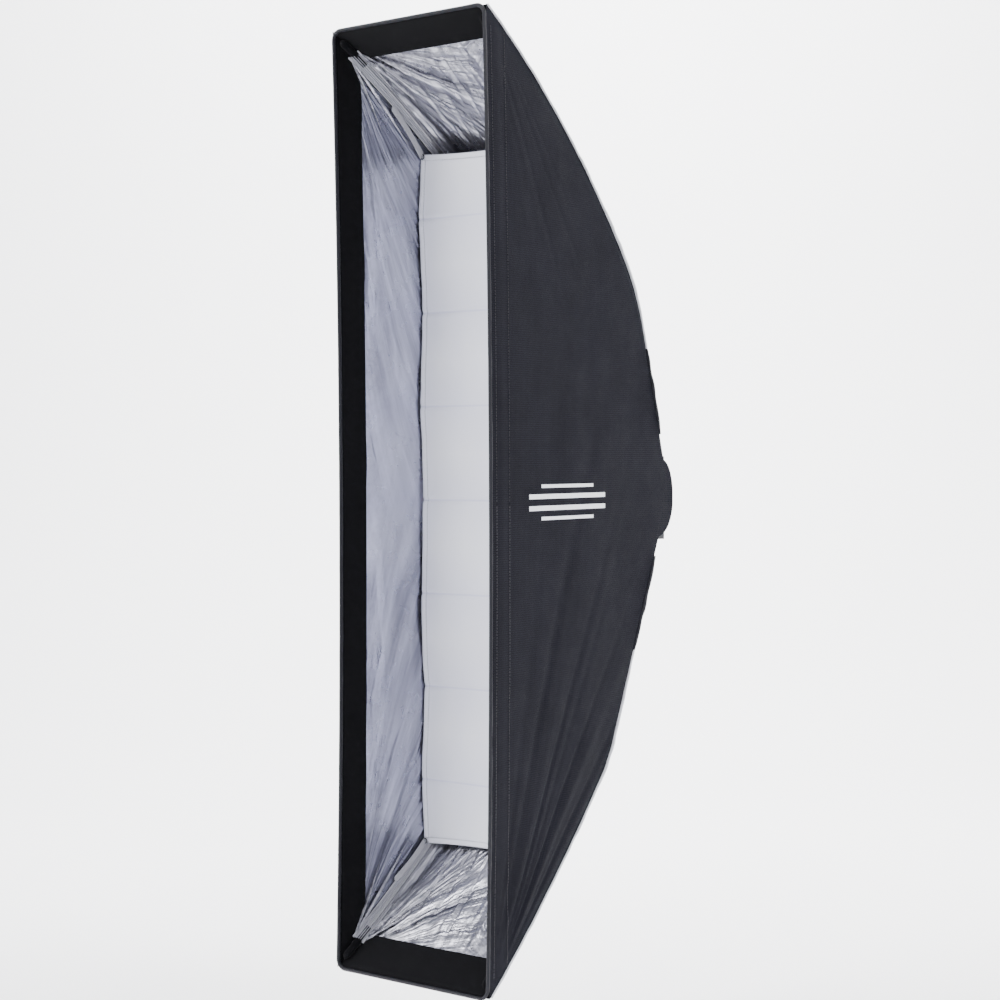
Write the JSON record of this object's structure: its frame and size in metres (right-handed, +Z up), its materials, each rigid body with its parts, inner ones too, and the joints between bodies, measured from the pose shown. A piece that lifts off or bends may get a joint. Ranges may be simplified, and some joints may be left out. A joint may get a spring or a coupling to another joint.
{
  "type": "strip softbox",
  "caption": "Tall narrow fabric light box with silver lining, white inner baffle, folding rods and a turning speedring.",
  "frame": {"origin": "on the box's axis, in the adapter's face that meets the lamp", "axes": "+Y along the axis to the lamp, -Y out of the light opening, +Z up along the long side, X across"},
  "size_m": [0.3, 0.5522, 1.4],
  "materials": {
    "zinc_steel": "satin zinc",
    "black_metal": "satin powder coat",
    "steel": "bright",
    "screw_steel": "black oxide",
    "red_lever": "moulded",
    "black_plastic": "moulded",
    "silver_tape": "ribbed woven",
    "silver_piping": "woven cord",
    "black_webbing": "woven",
    "white_elastic": "ribbed elastic",
    "rod_steel": "drawn",
    "black_cloth": "coated fine weave outside, silver inside",
    "loop_tape": "loop pile",
    "binding_tape": "rolled hem",
    "white_diffuser": "thin translucent nylon",
    "silver_lining": "crinkled silver coating"
  },
  "bodies": {
    "adapter": {"adapter_plate": "zinc_steel", "bayonet_lugs": "steel", "lug_rivets": "steel"},
    "lock_screw": {"lock_stud": "steel", "lock_knob": "black_plastic"},
    "arm_upper_left": {"rod_socket_upper_left": "black_metal", "rod_upper_left": "rod_steel", "rod_cap_upper_left": "black_plastic", "corner_pocket_upper_left": "black_webbing", "rod_sleeve_upper_left": "silver_tape", "piping_upper_left": "silver_piping", "baffle_elastic_upper_left": "white_elastic"},
    "latch_upper_left": {"latch_lever_upper_left": "red_lever"},
    "arm_upper_right": {"rod_socket_upper_right": "black_metal", "rod_upper_right": "rod_steel", "rod_cap_upper_right": "black_plastic", "corner_pocket_upper_right": "black_webbing", "rod_sleeve_upper_right": "silver_tape", "piping_upper_right": "silver_piping", "baffle_elastic_upper_right": "white_elastic"},
    "latch_upper_right": {"latch_lever_upper_right": "red_lever"},
    "arm_lower_left": {"rod_socket_lower_left": "black_metal", "rod_lower_left": "rod_steel", "rod_cap_lower_left": "black_plastic", "corner_pocket_lower_left": "black_webbing", "rod_sleeve_lower_left": "silver_tape", "piping_lower_left": "silver_piping", "baffle_elastic_lower_left": "white_elastic"},
    "latch_lower_left": {"latch_lever_lower_left": "red_lever"},
    "arm_lower_right": {"rod_socket_lower_right": "black_metal", "rod_lower_right": "rod_steel", "rod_cap_lower_right": "black_plastic", "corner_pocket_lower_right": "black_webbing", "rod_sleeve_lower_right": "silver_tape", "piping_lower_right": "silver_piping", "baffle_elastic_lower_right": "white_elastic"},
    "latch_lower_right": {"latch_lever_lower_right": "red_lever"},
    "speedring": {"bottom_panel": "black_cloth", "bracket_screws": "screw_steel", "front_binding": "binding_tape", "hinge_pins": "steel", "inner_baffle": "white_diffuser", "latch_pins": "steel", "latch_springs": "steel", "loop_band_bottom": "loop_tape", "loop_band_left": "loop_tape", "loop_band_right": "loop_tape", "loop_band_top": "loop_tape", "retainer_ring": "zinc_steel", "retainer_screws": "screw_steel", "rod_bracket_lower_left": "black_metal", "rod_bracket_lower_right": "black_metal", "rod_bracket_upper_left": "black_metal", "rod_bracket_upper_right": "black_metal", "side_panel_left": "black_cloth", "side_panel_right": "black_cloth", "speedring": "black_metal", "top_panel": "black_cloth"}
  },
  "joints": [
    {"name": "speedring_turn", "type": "hinge", "parent": "adapter", "child": "speedring", "pos_m": [0, -0.0085, 0], "axis": [0, 1, 0], "continuous": true},
    {"name": "lock_screw_turn", "type": "hinge", "parent": "speedring", "child": "lock_screw", "pos_m": [0, -0.0085, 0.09], "axis": [0, 0, 1], "range_deg": [0, 720]},
    {"name": "fold_upper_left", "type": "hinge", "parent": "speedring", "child": "arm_upper_left", "pos_m": [-0.08134, -0.05433, 0.05775], "axis": [1, 0, 0], "range_deg": [0, 50], "deforming": ["bottom_panel", "front_binding", "inner_baffle", "loop_band_bottom", "loop_band_left", "loop_band_right", "loop_band_top", "side_panel_left", "side_panel_right", "top_panel", "latch_springs"]},
    {"name": "fold_upper_right", "type": "hinge", "parent": "speedring", "child": "arm_upper_right", "pos_m": [0.08134, -0.05433, 0.05775], "axis": [1, 0, 0], "range_deg": [0, 50]},
    {"name": "fold_lower_left", "type": "hinge", "parent": "speedring", "child": "arm_lower_left", "pos_m": [-0.08312, -0.06961, -0.05738], "axis": [-1, 0, 0], "range_deg": [0, 50]},
    {"name": "fold_lower_right", "type": "hinge", "parent": "speedring", "child": "arm_lower_right", "pos_m": [0.08312, -0.06961, -0.05738], "axis": [-1, 0, 0], "range_deg": [0, 50]},
    {"name": "latch_press_upper_left", "type": "hinge", "parent": "speedring", "child": "latch_upper_left", "pos_m": [-0.08134, -0.04533, 0.04575], "axis": [-1, 0, 0], "range_deg": [0, 8], "stiffness_Nm_per_rad": 0.2},
    {"name": "latch_press_upper_right", "type": "hinge", "parent": "speedring", "child": "latch_upper_right", "pos_m": [0.08134, -0.04533, 0.04575], "axis": [-1, 0, 0], "range_deg": [0, 8], "stiffness_Nm_per_rad": 0.2},
    {"name": "latch_press_lower_left", "type": "hinge", "parent": "speedring", "child": "latch_lower_left", "pos_m": [-0.08312, -0.06062, -0.04538], "axis": [1, 0, 0], "range_deg": [0, 8], "stiffness_Nm_per_rad": 0.2},
    {"name": "latch_press_lower_right", "type": "hinge", "parent": "speedring", "child": "latch_lower_right", "pos_m": [0.08312, -0.06062, -0.04538], "axis": [1, 0, 0], "range_deg": [0, 8], "stiffness_Nm_per_rad": 0.2}
  ],
  "couplings": [
    {"joint": "fold_upper_right", "follows": "fold_upper_left", "ratio": 1},
    {"joint": "fold_lower_left", "follows": "fold_upper_left", "ratio": 1},
    {"joint": "fold_lower_right", "follows": "fold_upper_left", "ratio": 1}
  ]
}
